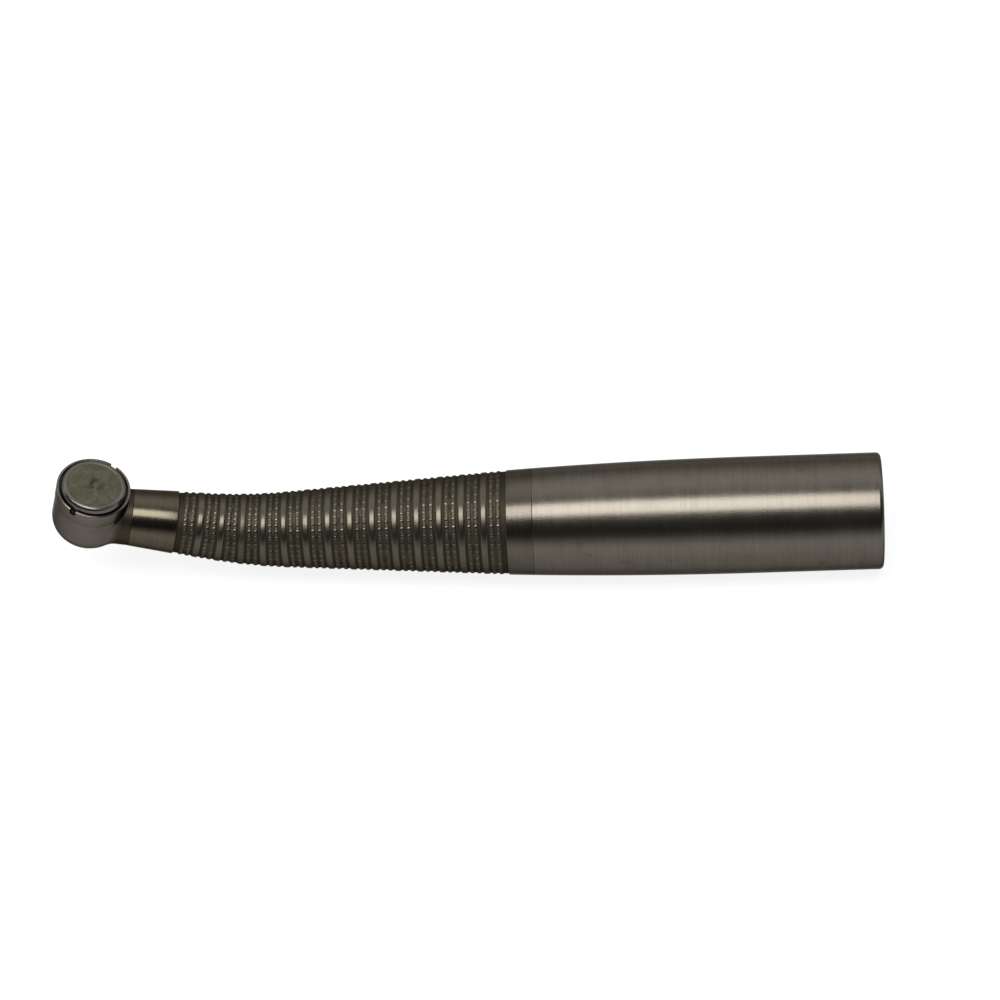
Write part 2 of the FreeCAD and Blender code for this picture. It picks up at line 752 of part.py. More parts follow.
# Button spring: a short coil between the cap's web and the underside of the button
def make_button_spring():
    body = new_body("button_spring", in_head=True)
    sketch = sketch_on(body, "spring_wire_outline", "XZ_Plane")
    draw_circle(sketch, "spring_radius", "web_high_z + spring_wire / 2", "spring_wire / 2")
    coil = body.newObject("PartDesign::AdditiveHelix", "spring_coil")
    coil.Profile = sketch
    coil.ReferenceAxis = (sketch, ["V_Axis"])
    coil.Mode = "height-turns-angle"
    coil.Height = number("button_under_z - web_high_z - spring_wire - slip")
    coil.Turns = number("spring_turns")
    bind(coil, Height="button_under_z - web_high_z - spring_wire - slip", Turns="spring_turns")
    body.Tip = coil


def make_bearing(which, seat):
    """One ball bearing: two grooved races, balls in a cage, a shield and a seal round it."""
    top = "(%s + bearing_width)" % seat
    middle = "(%s + bearing_width / 2)" % seat
    inner = head_ring(which + "_inner_race", ring_outline("shaft_radius", "inner_race_radius", seat, top))
    outer = head_ring(which + "_outer_race", ring_outline("outer_race_bore", "bearing_radius", seat, top))
    for body in (inner, outer):
        track = body.newObject("PartDesign::Groove", body.Label + "_track")
        sketch = sketch_on(body, body.Label + "_track_outline", "XZ_Plane")
        draw_circle(sketch, "ball_pitch_radius", middle, "ball_radius + slip")
        before = volume(body)
        track.Profile = sketch
        track.ReferenceAxis = (sketch, ["V_Axis"])
        track.Angle = 360
        finish_feature(body, track, True, before)
    balls = new_body(which + "_balls", in_head=True)
    ball = balls.newObject("PartDesign::AdditiveSphere", which + "_ball")
    bind(ball, Radius="ball_radius", Placement__Base__x="ball_pitch_radius", Placement__Base__z=middle)
    repeat_round(balls, which + "_ball_circle", ball, "ball_count")
    half = "cage_thickness / 2"
    cage = head_ring(which + "_cage", ring_outline(
        "ball_pitch_radius - " + half, "ball_pitch_radius + " + half,
        middle + " - cage_height / 2", middle + " + cage_height / 2"))
    mouth = sketch_on(cage, which + "_pocket_outline", "YZ_Plane")
    draw_circle(mouth, "0", middle, "ball_radius + running_gap")
    pocket = extrude(cage, which + "_pocket", mouth, "bearing_radius", cuts=True, reverse=True)
    repeat_round(cage, which + "_pocket_circle", pocket, "ball_count")
    if which.startswith("front"):
        low = "%s + shield_inset" % seat
    else:
        low = "%s - shield_inset - shield_thickness" % top
    head_ring(which + "_shield", ring_outline(
        "inner_race_radius + running_gap", "outer_race_bore", low, low + " + shield_thickness"))
    head_ring(which + "_o_ring", seal_section(middle, "bearing_radius", "o_ring_groove_radius"))


# Preload washer: the dished washer that pushes the rear bearing forward from the cap
def make_preload_washer():
    inner, outer = "outer_race_bore + running_gap", "bearing_radius"
    head_ring("preload_washer", [
        (inner, "rear_top_z"),
        (outer, "web_low_z - washer_sheet"),
        (outer, "web_low_z"),
        (inner, "rear_top_z + washer_sheet"),
    ])


# Spindle: the hollow shaft that the two inner races and the impeller sit on
def make_spindle():
    collet_bore = "collet_radius + slip"
    head_ring("spindle", [
        (collet_bore, "spindle_low_z"),
        ("spindle_nose_radius", "spindle_low_z"),
        ("spindle_nose_radius", "front_seat_z"),
        ("shaft_radius", "front_seat_z"),
        ("shaft_radius", "spindle_high_z"),
        ("plunger_radius + running_gap", "spindle_high_z"),
        ("plunger_radius + running_gap", "collet_high_z"),
        (collet_bore, "collet_high_z"),
    ])


# Impeller: a wheel with round scoops cut into its rim, its hub clamped between the inner races
def make_impeller():
    outer = "chamber_radius - impeller_gap"
    body = head_ring("impeller", [
        ("shaft_radius", "front_top_z"),
        ("impeller_hub_radius", "front_top_z"),
        ("impeller_hub_radius", "impeller_low_z"),
        (outer, "impeller_low_z"),
        (outer, "impeller_high_z"),
        ("impeller_hub_radius", "impeller_high_z"),
        ("impeller_hub_radius", "rear_seat_z"),
        ("shaft_radius", "rear_seat_z"),
    ])
    sketch = sketch_on(body, "scoop_outline", "XY_Plane")
    draw_circle(sketch, outer, "0", "scoop_radius")
    scoop = extrude(body, "scoop", sketch, cuts=True)
    repeat_round(body, "scoops", scoop, "scoop_count")


# Chuck: the spring collet that grips the bur, and the plunger that opens it
def make_chuck():
    collet_outline = ring_outline("bur_radius", "collet_radius", "collet_low_z", "collet_high_z")
    collet = head_ring("chuck_collet", collet_outline)
    sketch = sketch_on(collet, "slot_outline", "XY_Plane", offset="collet_high_z")
    half = "collet_slot_width / 2"
    reach = "(collet_radius + slip)"
    draw(sketch, [("0", "0 - " + half), (reach, "0 - " + half), (reach, half), ("0", half)])
    slot = extrude(collet, "slot", sketch, "collet_slot_length", cuts=True)
    repeat_round(collet, "slots", slot, "collet_slot_count")
    head_ring("chuck_plunger", [
        ("0", "plunger_low_z"),
        ("plunger_radius / 2", "plunger_low_z"),
        ("plunger_radius", "plunger_low_z + plunger_radius / 2"),
        ("plunger_radius", "plunger_high_z"),
        ("0", "plunger_high_z"),
    ])


def make_tube(name):
    """A thin metal line from the manifold to the head, bent with the handle."""
    body = new_body(name + "_tube")
    y, z = name + "_tube_y", name + "_tube_z"
    body.Placement = FreeCAD.Placement(FreeCAD.Vector(0, number(y), 0), FreeCAD.Rotation())
    bind(body, Placement__Base__y=y)
    straight = "(head_run - tube_stop)"
    bend_x = "0 - bend_start - (bend_radius - %s) * sin(bend_angle)" % z
    bend_z = "bend_radius - (bend_radius - %s) * cos(bend_angle)" % z
    route = sketch_on(body, name + "_route", "XZ_Plane")
    draw(route, [
        ("0 - tube_start", z),
        ("0 - bend_start", z),
        (bend_x, bend_z, "arc"),
        ("%s - %s * cos(bend_angle)" % (bend_x, straight), "%s + %s * sin(bend_angle)" % (bend_z, straight)),
    ], closed=False)
    section = sketch_on(body, name + "_section", "YZ_Plane", offset="0 - tube_start")
    draw_circle(section, "0", z, name + "_tube_radius")
    draw_circle(section, "0", z, name + "_tube_radius - tube_wall")
    pipe = body.newObject("PartDesign::AdditivePipe", name + "_pipe")
    pipe.Profile = section
    pipe.Spine = (route, ["Edge1", "Edge2", "Edge3"])
    finish_feature(body, pipe, False, 0.0)


def make_clip(which, bore, slope):
    """A spacer disc that keeps the four lines apart, as wide as the shell's tapered bore lets it be."""
    label, place, reach = which + "_tube_clip", which + "_clip_place", which + "_clip_reach"
    body = new_body(label)
    rear = "0 - %s + clip_thickness / 2" % place
    front = "0 - %s - clip_thickness / 2" % place
    radius = "%s - %s * (%s + clip_thickness / 2) - running_gap" % (bore, slope, reach)
    outline = [(rear, "0"), (rear, radius), (front, radius), (front, "0")]
    revolve(body, label + "_disc", outline, "H_Axis")
    bore_for_tubes(body, label + "_holes", "0 - " + place, extra="slip")


def check():
    """Stops where an object failed, or where a piece has no sound solid."""
    for item in doc.Objects:
        if "Invalid" in item.State or "Error" in item.State:
            raise RuntimeError("%s is %s" % (item.Label, item.State))
    for node in nodes:
        if node.Shape.isNull() or not node.Shape.isValid() or not node.Shape.Solids:
            raise RuntimeError("%s has no sound solid" % node.Label)


fill_sheet()
make_rear_barrel()
make_coupling_socket()
make_manifold_plate()
make_collar()
make_grip_sleeve()
make_neck()
make_head_housing()
make_spray_ring()
make_head_cap()
make_push_button()
make_button_spring()
make_bearing("front_bearing", "front_seat_z")
make_bearing("rear_bearing", "rear_seat_z")
make_preload_washer()
make_spindle()
make_impeller()
make_chuck()
for tube in TUBES:
    make_tube(tube)
make_clip("barrel", "barrel_bore", "barrel_slope")
make_clip("rear", "grip_rear_bore", "bore_slope")
make_clip("front", "grip_rear_bore", "bore_slope")
doc.recompute()
check()

os.makedirs("parts", exist_ok=True)
for node in nodes:
    node.Shape.exportStep("parts/%s.step" % node.Label)
    print("%-28s %9.3f mm3" % (node.Label, node.Shape.Volume))
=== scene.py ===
import json
import math

import bmesh
import bpy
import numpy as np
from mathutils import Matrix, Vector


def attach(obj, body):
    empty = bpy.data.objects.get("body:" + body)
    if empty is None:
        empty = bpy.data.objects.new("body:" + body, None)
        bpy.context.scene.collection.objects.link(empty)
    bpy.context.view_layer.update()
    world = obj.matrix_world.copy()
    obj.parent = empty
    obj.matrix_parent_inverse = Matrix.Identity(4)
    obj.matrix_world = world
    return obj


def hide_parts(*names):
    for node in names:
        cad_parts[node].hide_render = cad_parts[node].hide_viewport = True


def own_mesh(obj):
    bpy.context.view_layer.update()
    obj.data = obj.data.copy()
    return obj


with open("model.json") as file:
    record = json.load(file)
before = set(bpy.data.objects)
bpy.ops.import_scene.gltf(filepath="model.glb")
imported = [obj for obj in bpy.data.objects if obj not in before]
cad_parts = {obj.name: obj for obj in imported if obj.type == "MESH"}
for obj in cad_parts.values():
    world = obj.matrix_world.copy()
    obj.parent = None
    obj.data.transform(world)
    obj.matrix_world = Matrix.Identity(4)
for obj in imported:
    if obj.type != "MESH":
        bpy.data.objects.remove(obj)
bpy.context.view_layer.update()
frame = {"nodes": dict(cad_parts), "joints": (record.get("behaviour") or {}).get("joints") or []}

# Rear barrel
# The thin titanium sleeve that the user's hand rests on, turned on a lathe and left with a fine satin
# grain round it. It is parallel at its rear and draws in along one long arc to meet the collar.

mm = 0.001
barrel_length = 47.65 * mm
barrel_radius = 8.0 * mm
barrel_bore = 7.0 * mm
barrel_front_radius = 7.35 * mm
barrel_front_bore = 6.4 * mm
barrel_parallel = 17.7 * mm
thread_length = 4.0 * mm
bore_cone_start = 27.0 * mm
bore_cone_end = barrel_length - thread_length
lathe_grain = (4200.0, 170.0, 170.0)
titanium_tone = (0.112, 0.100, 0.083)
smudge_tone = (0.072, 0.055, 0.036)
dirt_and_shade_tone = (0.030, 0.025, 0.016)


class Shade:
    """An output of a shader node. Arithmetic on it adds Math nodes."""

    def __init__(self, tree, socket):
        self.tree = tree
        self.socket = socket

    def node(self, kind, settings, values, output=0):
        """A node of any kind: its settings first, then the values or links of its sockets."""
        made = self.tree.nodes.new(kind)
        for name, value in settings.items():
            setattr(made, name, value)
        for name, value in values.items():
            if isinstance(value, Shade):
                self.tree.links.new(value.socket, made.inputs[name])
            else:
                made.inputs[name].default_value = value
        return Shade(self.tree, made.outputs[output])

    def math(self, operation, first, second):
        """A Math node's result from two values or links."""
        return self.node("ShaderNodeMath", {"operation": operation}, {0: first, 1: second})

    def __add__(self, other):
        return self.math("ADD", self, other)

    def __sub__(self, other):
        return self.math("SUBTRACT", self, other)

    def __rsub__(self, other):
        return self.math("SUBTRACT", other, self)

    def __mul__(self, other):
        return self.math("MULTIPLY", self, other)

    __radd__ = __add__
    __rmul__ = __mul__

    def noise(self, scale, detail=2.0):
        """Soft noise from 0 to 1 at this place, with scale cells to the unit."""
        return self.node("ShaderNodeTexNoise", {}, {"Vector": self, "Scale": scale, "Detail": detail})

    def step(self, low, high):
        """0 below low, 1 above high, and a smooth rise between them."""
        settings = {"interpolation_type": "SMOOTHSTEP"}
        return self.node("ShaderNodeMapRange", settings, {"Value": self, "From Min": low, "From Max": high})

    def blend(self, first, second):
        """The first colour where this is 0, and the second where it is 1."""
        colours = {}
        for place, colour in ((6, first), (7, second)):
            colours[place] = colour if isinstance(colour, Shade) else (*colour, 1.0)
        return self.node("ShaderNodeMix", {"data_type": "RGBA"}, {0: self, **colours}, output=2)

    def along(self, direction):
        """How far this place lies along a direction."""
        settings = {"operation": "DOT_PRODUCT"}
        return self.node("ShaderNodeVectorMath", settings, {0: self, 1: direction}, output="Value")

    def length(self, scale):
        """How far this place lies from the origin, counting each axis by its scale."""
        stretched = self.node("ShaderNodeVectorMath", {"operation": "MULTIPLY"}, {0: self, 1: scale})
        return self.node("ShaderNodeVectorMath", {"operation": "LENGTH"}, {0: stretched}, output="Value")

    def bump(self, height, normal=None):
        """A normal from this height, where 1 stands height metres proud, on top of another normal."""
        values = {"Height": self, "Distance": height}
        if normal:
            values["Normal"] = normal
        return self.node("ShaderNodeBump", {}, values)

    def turned_to(self, origin, tilt, cells):
        """This place from an origin, tilted back about Y, in cells per metre along each axis."""
        values = {"Vector": self, "Location": origin, "Rotation": (0.0, tilt, 0.0)}
        values["Scale"] = tuple(1.0 / count for count in cells)
        return self.node("ShaderNodeMapping", {"vector_type": "TEXTURE"}, values)

    def into(self, shader, name):
        """Feeds this to a shader's socket."""
        self.tree.links.new(self.socket, shader.inputs[name])


def surface_finish(name, **constants):
    """A new material, its surface shader with constant values set, and its place in the object."""
    material = bpy.data.materials.new(name)
    material.use_nodes = True
    tree = material.node_tree
    shader = tree.nodes["Principled BSDF"]
    for socket, value in constants.items():
        shader.inputs[socket.replace("_", " ")].default_value = value
    coordinates = tree.nodes.new("ShaderNodeTexCoord")
    return material, shader, Shade(tree, coordinates.outputs["Object"])


def scaled(tone, factor):
    """A tone times a factor: darker under 1, lighter over it."""
    return tuple(factor * value for value in tone)


def satin_titanium(name, tone, origin=(0.0, 0.0, 0.0), tilt=0.0, cells=lathe_grain,
                   dirt_and_shade=None, gloss=0.18):
    """Satin metal with lathe grain round its axis, soft clouds of tone and a few brown smudges.

    Where a mask is given, the metal there turns darker and rougher: grime at seams and painted shade in the
    cap's hollows.
    """
    material, shader, place = surface_finish(name, Metallic=1.0, Specular_Tint=(0.35, 0.35, 0.35, 1.0))
    grain = place.turned_to(origin, tilt, cells).noise(1.0, 3.0)
    cloud = place.noise(260.0, 3.0)
    fleck = place.noise(5200.0, 2.0)
    smudge = place.noise(330.0, 4.0).step(0.63, 0.74)
    shading = (grain * 0.6 + cloud * 0.4).step(0.25, 0.75)
    metal = shading.blend(scaled(tone, 0.88), scaled(tone, 1.12))
    colour = (smudge * 0.35).blend(metal, smudge_tone)
    roughness = grain * 0.08 + cloud * 0.06 + gloss
    if dirt_and_shade:
        darkening = dirt_and_shade(place)
        colour = (darkening * 0.85).blend(colour, dirt_and_shade_tone)
        roughness = roughness + darkening * 0.18
    colour.into(shader, "Base Color")
    roughness.into(shader, "Roughness")
    fleck.bump(0.008 * mm, grain.bump(0.0035 * mm)).into(shader, "Normal")
    return material


def surface(name, points, closed, body, slot, stands_for=(), sharp=40.0, **attributes):
    """A piece on a grid of points, closed round its columns and, where asked, round its rows."""
    rows, columns = points.shape[:2]
    index = np.arange(rows * columns).reshape(rows, columns)
    here = index if closed else index[:-1]
    below = np.roll(index, -1, axis=0) if closed else index[1:]
    corners = [here, np.roll(here, -1, axis=1), np.roll(below, -1, axis=1), below]
    mesh = bpy.data.meshes.new(name)
    mesh.from_pydata(points.reshape(-1, 3), [], np.stack(corners, axis=-1).reshape(-1, 4).tolist())
    for attribute, values in attributes.items():
        layer = mesh.attributes.new(attribute, "FLOAT", "POINT")
        layer.data.foreach_set("value", np.broadcast_to(values, (rows, columns)).ravel())
    return settle(name, mesh, body, stands_for, sharp)


def settle(name, mesh, body, stands_for=(), sharp=40.0):
    """A mesh made a piece: doubled points merged, faces outwards, smooth but for sharp edges."""
    work = bmesh.new()
    work.from_mesh(mesh)
    bmesh.ops.remove_doubles(work, verts=work.verts, dist=1e-7)
    bmesh.ops.recalc_face_normals(work, faces=work.faces)
    work.to_mesh(mesh)
    work.free()
    mesh.shade_smooth()
    mesh.set_sharp_from_angle(angle=math.radians(sharp))
    piece = bpy.data.objects.new(name, mesh)
    bpy.context.scene.collection.objects.link(piece)
    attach(piece, body)
    if stands_for:
        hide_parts(*stands_for)
    return piece


def rounded(corners, steps=6):
    """A closed outline whose corners, each with a radius, become arcs tangent to both their sides."""
    outline = []
    count = len(corners)
    for place, (along, out, radius) in enumerate(corners):
        corner = np.array([along, out])
        before = np.array(corners[place - 1][:2]) - corner
        after = np.array(corners[(place + 1) % count][:2]) - corner
        if radius == 0.0:
            outline.append(corner)
            continue
        before /= np.linalg.norm(before)
        after /= np.linalg.norm(after)
        half = math.acos(np.clip(before @ after, -1.0, 1.0)) / 2
        centre = corner + (before + after) / np.linalg.norm(before + after) * radius / math.sin(half)
        start = corner + before * radius / math.tan(half) - centre
        end = corner + after * radius / math.tan(half) - centre
        sweep = math.pi - 2 * half
        for share in np.linspace(0.0, 1.0, steps):
            weights = math.sin((1 - share) * sweep), math.sin(share * sweep)
            outline.append(centre + (weights[0] * start + weights[1] * end) / math.sin(sweep))
    return np.array(outline)


def full_turn(steps):
    """Angles at even steps once round, without the last, which would be the first again."""
    return np.linspace(0.0, 2 * math.pi, steps, endpoint=False)


def round_x(outline, steps=256):
    """An outline of place along X and radius, turned about the barrel's axis."""
    angle = full_turn(steps)
    along, radius = outline[:, :1], outline[:, 1:]
    return np.stack([along + 0 * angle, radius * np.sin(angle), radius * np.cos(angle)], axis=-1)


# The arc leaves the parallel part at a tangent: its radius is the sum of the squares of its length and
# its drop, over twice the drop.
draw_in = np.linspace(0.0, barrel_length - barrel_parallel, 24)
drop = barrel_radius - barrel_front_radius
arc_radius = (draw_in[-1] ** 2 + drop ** 2) / (2 * drop)
taper = barrel_radius - arc_radius + np.sqrt(arc_radius ** 2 - draw_in ** 2)
rear_edge = rounded([(-bore_cone_start, barrel_bore, 0.0), (0.0, barrel_bore, 0.1 * mm),
                     (0.0, barrel_radius, 0.6 * mm), (-barrel_parallel, barrel_radius, 0.0)], 8)
front_edge = rounded([(-barrel_length + 1 * mm, taper[-1], 0.0), (-barrel_length, taper[-1], 0.05 * mm),
                      (-barrel_length, barrel_front_bore, 0.0), (-bore_cone_end, barrel_front_bore, 0.0)], 4)
barrel_outline = np.vstack([rear_edge, np.stack([-barrel_parallel - draw_in[1:-1], taper[1:-1]], 1),
                            front_edge[1:]])
rear_barrel = surface("rear_barrel_shell", round_x(barrel_outline), True, "handle", "satin_titanium",
                      ["rear_barrel"])
rear_barrel.data.materials.append(satin_titanium("barrel_satin", titanium_tone))

# Coupling socket and manifold plate
# A stainless sleeve and disc pressed into the rear of the barrel. The coupler slides into the bright
# bore and seals against the disc, whose four ports are the air, exhaust, chip air and water lines.

stainless_tone = (0.30, 0.295, 0.285)


def machined_steel(name, tone, roughness, cells=(5200.0, 240.0, 240.0), origin=(0.0, 0.0, 0.0), tilt=0.0):
    """Machined metal: fine tool marks round its axis and slight clouds in its gloss."""
    material, shader, place = surface_finish(name, Metallic=1.0, Specular_Tint=(0.4, 0.4, 0.4, 1.0))
    marks = place.turned_to(origin, tilt, cells).noise(1.0, 2.0)
    cloud = place.noise(420.0, 3.0)
    (marks * 0.5 + cloud * 0.5).step(0.3, 0.7).blend(scaled(tone, 0.8), tone).into(shader, "Base Color")
    (cloud * 0.16 + roughness - 0.08).into(shader, "Roughness")
    marks.bump(0.004 * mm).into(shader, "Normal")
    return material


def dress(finish, *nodes):
    """Gives CAD pieces a finish of their own."""
    for node in nodes:
        frame["nodes"][node].data.materials.clear()
        frame["nodes"][node].data.materials.append(finish)


dress(machined_steel("socket_steel", stainless_tone, 0.26), "coupling_socket", "manifold_plate",
      "drive_tube", "exhaust_tube", "chip_air_tube", "water_tube")

# Tube clips
# Moulded resin discs inside the shell that keep the four lines apart and off its wall.

clip_finish, clip_shader, clip_place = surface_finish("clip_resin_moulded", Roughness=0.5)
clip_place.noise(900.0).step(0.3, 0.7).blend((0.55, 0.51, 0.42), (0.62, 0.58, 0.49)).into(
    clip_shader, "Base Color")
clip_place.noise(6000.0).bump(0.01 * mm).into(clip_shader, "Normal")
dress(clip_finish, "barrel_tube_clip", "rear_tube_clip", "front_tube_clip")

# Seals
# Black rubber rings, squeezed in their grooves, which seal the joints and cushion the bearings.

rubber, rubber_shader, rubber_place = surface_finish("seal_black", Roughness=0.6)
rubber_place.noise(2500.0).blend((0.018, 0.018, 0.018), (0.034, 0.033, 0.032)).into(
    rubber_shader, "Base Color")
dress(rubber, "collar_o_ring", "neck_o_ring", "front_bearing_o_ring", "rear_bearing_o_ring")

# Collar
# A plain titanium ring between barrel and grip, which screws into both. Only its middle shows, as a
# band with a hairline seam to the barrel and a dark groove to the grip.

collar_length = 3.57 * mm
grip_start = barrel_length + collar_length
grip_radius = 7.18 * mm
collar_bore = 5.6 * mm
collar_thread_radius = 6.38 * mm
collar_tone = (0.090, 0.080, 0.065)
collar_outline = rounded([
    (-bore_cone_end, collar_bore, 0.0), (-bore_cone_end, collar_thread_radius, 0.0),
    (-barrel_length, collar_thread_radius, 0.0), (-barrel_length, barrel_front_radius, 0.06 * mm),
    (-grip_start, grip_radius, 0.08 * mm), (-grip_start, 6.2 * mm, 0.0),
    (-grip_start - thread_length, 5.9 * mm, 0.0), (-grip_start - thread_length, collar_bore, 0.0)], 4)
collar = surface("collar_band", round_x(collar_outline), True, "handle", "satin_titanium", ["collar_ring"])
collar.data.materials.append(satin_titanium("collar_satin", collar_tone))

# Grip sleeve
# One bent titanium sleeve. Fourteen plain rings stand between sunk bands, and each band carries two low
# ridges of small beads, so that a wet glove doesn't slip. Use has left brown residue in the bands.

ring_pitch = 3.052 * mm
ring_count = 14
soiled_ring = 11
soiled_wear = 0.72
ring_half = 0.375 * mm
ring_edge = 0.1 * mm
ring_crown = 0.05 * mm
band_depth = 0.16 * mm
row_place = 0.475 * mm
row_half = 0.27 * mm
row_height = 0.105 * mm
grip_wall = 0.92 * mm
grip_columns = 172
bore_steps = 30
grip_length = ring_pitch * (ring_count + 1)
grip_front_radius = 4.27 * mm
grip_slope = (grip_radius - grip_front_radius) / grip_length
bend_angle = math.radians(13.6)
bend_radius = 47.6 * mm
straight_front = 4.54 * mm
bend_end = grip_start + grip_length - straight_front
bend_start = bend_end - bend_radius * bend_angle
band_grime_and_shade_tone = (0.037, 0.033, 0.024)
ridge_tone = (0.070, 0.063, 0.048)
residue_tone = (0.066, 0.055, 0.036)
ring_tone = (0.090, 0.080, 0.061)


def along_handle(distance, angle, radius):
    """Points round the centre line, at an angle from up: straight along -X, an arc, and straight again."""
    turn = bend_angle * np.clip((distance - bend_start) / (bend_end - bend_start), 0.0, 1.0)
    beyond = np.maximum(distance - bend_end, 0.0)
    centre_x = -np.minimum(distance, bend_start) - bend_radius * np.sin(turn) - beyond * np.cos(turn)
    centre_z = bend_radius * (1 - np.cos(turn)) + beyond * np.sin(turn)
    up = radius * np.cos(angle)
    return np.stack(np.broadcast_arrays(
        centre_x + up * np.sin(turn), radius * np.sin(angle), centre_z + up * np.cos(turn)), axis=-1)


def grip_cone(distance):
    """The radius over the rings, which falls evenly from the collar to the neck."""
    return grip_radius - grip_slope * (distance - grip_start)


def band_relief(offset):
    """Height over a band's floor at an offset from its middle: a flat-topped ridge at each bead row.

    A ridge is its height times the root of 1 less the fourth power of the share of its half width.
    """
    away = np.abs(np.abs(offset) - row_place)
    return row_height * np.sqrt(np.clip(1 - (away / row_half) ** 4, 0.0, 1.0))


band_half = ring_pitch / 2 - ring_half - ring_edge
in_band = np.linspace(-band_half, band_half, 27)
on_ring = np.linspace(-ring_half, ring_half, 9)
distances, heights, wear, between = [], [], [], []
for band in range(ring_count + 1):
    middle = grip_start + ring_pitch * (band + 0.5)
    low_end = -ring_pitch / 2 if band == 0 else -band_half
    high_end = ring_pitch / 2 if band == ring_count else band_half
    offsets = np.concatenate([[low_end], in_band[1:-1], [high_end]])
    relief = band_relief(offsets)
    distances.append(middle + offsets)
    heights.append(relief - band_depth)
    wear.append(0.5 * relief / row_height)
    between.append(1.0 * (np.abs(offsets) < row_place))
    if band < ring_count:
        crown = -ring_crown * (on_ring / ring_half) ** 4
        distances.append(middle + ring_pitch / 2 + on_ring)
        heights.append(crown)
        wear.append(np.full(len(on_ring), soiled_wear if band == soiled_ring else 1.0))
        between.append(np.zeros(len(on_ring)))
distances = np.concatenate(distances)
bore_distances = np.linspace(distances[-1], distances[0], bore_steps)
outer_radii = grip_cone(distances) + np.concatenate(heights)
bore_radii = grip_cone(bore_distances) - grip_wall
grip_distance = np.concatenate([distances, bore_distances])[:, None]
grip_section = np.concatenate([outer_radii, bore_radii])[:, None]
grip_wear = np.concatenate([*wear, np.zeros(bore_steps)])[:, None]
grip_between = np.concatenate([*between, np.zeros(bore_steps)])[:, None]
grip = surface("grip_shell", along_handle(grip_distance, full_turn(grip_columns), grip_section), True,
               "handle", "grip_titanium", ["grip_sleeve"], 50.0, wear=grip_wear, between=grip_between)


def grip_metal():
    """Bright worn rings over olive-brown bands, with brown residue in patches between the bead rows."""
    material, shader, place = surface_finish("grip_satin", Metallic=1.0, Specular_Tint=(0.3, 0.3, 0.3, 1.0))
    worn = place.node("ShaderNodeAttribute", {"attribute_name": "wear"}, {}, output="Fac")
    inner = place.node("ShaderNodeAttribute", {"attribute_name": "between"}, {}, output="Fac")
    grain = place.turned_to((0.0, 0.0, 0.0), 0.0, lathe_grain).noise(1.0, 3.0)
    patch = place.noise(700.0, 3.0).step(0.42, 0.60)
    grime = place.noise(1900.0, 4.0)
    ringed = (worn + grime * 0.2 - 0.1).step(0.6, 0.85)
    # Band floors: dark olive grime, plus painted shade standing in for the depth of the sunk groove.
    floor = (patch * inner * 0.8).blend(band_grime_and_shade_tone, residue_tone)
    ridge = (worn + grime * 0.4 - 0.2).step(0.15, 0.45).blend(floor, ridge_tone)
    ring = grain.blend(scaled(ring_tone, 0.85), scaled(ring_tone, 1.15))
    ringed.blend(ridge, ring).into(shader, "Base Color")
    (0.55 - worn * 0.16 - ringed * 0.13 + grime * 0.1).into(shader, "Roughness")
    grime.bump(0.012 * mm).into(shader, "Normal")
    return material


grip.data.materials.append(grip_metal())

# Beads
# The small domes on the grip's ridges, coined with the ridges from the same metal. Thirty-six stand
# round each row, whatever its width, so that they close up towards the head.

bead_count = 36
bead_radius = 0.235 * mm
bead_rise = 0.055 * mm
bead_sink = 0.08 * mm
bead_phase = math.radians(8.3)
bead_tone = (0.108, 0.099, 0.077)
bead_grime_tone = (0.062, 0.054, 0.040)


def bead_domes(distance, angle):
    """Low domes on the rows, each a grid of rings and turns from its top to a flat hidden foot.

    A dome falls off with the square of its reach from the middle. Its directions out and ahead come from
    the handle's own shape, over a small step at its foot.
    """
    reach = np.array([0.0, 0.4, 0.75, 1.0, 1.0, 0.0])[:, None]
    rise = bead_sink + bead_rise * (1 - reach ** 2)
    rise[-2:] = 0.0
    turn = full_turn(9)
    floor = grip_cone(distance) - band_depth + row_height - bead_sink
    small = 0.01 * mm
    foot = along_handle(distance, angle, floor)
    out = along_handle(distance, angle, floor + small) - foot
    ahead = along_handle(distance + small, angle, floor) - foot
    out /= np.linalg.norm(out, axis=-1, keepdims=True)
    ahead /= np.linalg.norm(ahead, axis=-1, keepdims=True)
    across = np.cross(out, ahead)
    side = bead_radius * reach
    return (foot[:, None, None] + out[:, None, None] * (rise + 0 * turn)[..., None]
            + ahead[:, None, None] * (side * np.cos(turn))[..., None]
            + across[:, None, None] * (side * np.sin(turn))[..., None])


middles = grip_start + ring_pitch * (np.arange(ring_count + 1) + 0.5)
rows = np.concatenate([middles - row_place, middles + row_place])
row_distance = np.repeat(rows, bead_count)
row_angle = np.tile(bead_phase + np.arange(bead_count) * 2 * math.pi / bead_count, len(rows))
domes = bead_domes(row_distance, row_angle)
grid = np.arange(domes.shape[1] * domes.shape[2]).reshape(domes.shape[1:3])
dome_faces = np.stack([grid[:-1], np.roll(grid[:-1], -1, 1), np.roll(grid[1:], -1, 1), grid[1:]], -1)
all_faces = dome_faces.reshape(1, -1, 4) + grid.size * np.arange(len(domes))[:, None, None]
bead_mesh = bpy.data.meshes.new("grip_beads")
bead_mesh.from_pydata(domes.reshape(-1, 3), [], all_faces.reshape(-1, 4).tolist())
beads = settle("grip_beads", bead_mesh, "handle", sharp=50.0)
bead_finish, bead_shader, bead_place = surface_finish(
    "bead_metal", Metallic=1.0, Specular_Tint=(0.3, 0.3, 0.3, 1.0))
bead_grime = bead_place.noise(900.0, 3.0)
bead_grime.step(0.35, 0.65).blend(bead_tone, bead_grime_tone).into(bead_shader, "Base Color")
(bead_grime * 0.2 + 0.18).into(bead_shader, "Roughness")
beads.data.materials.append(bead_finish)

# Neck sleeve
# The plain tapered sleeve between grip and head. It turns the same satin grain towards the light, and
# its rear edge stands a little over the grip's first band.

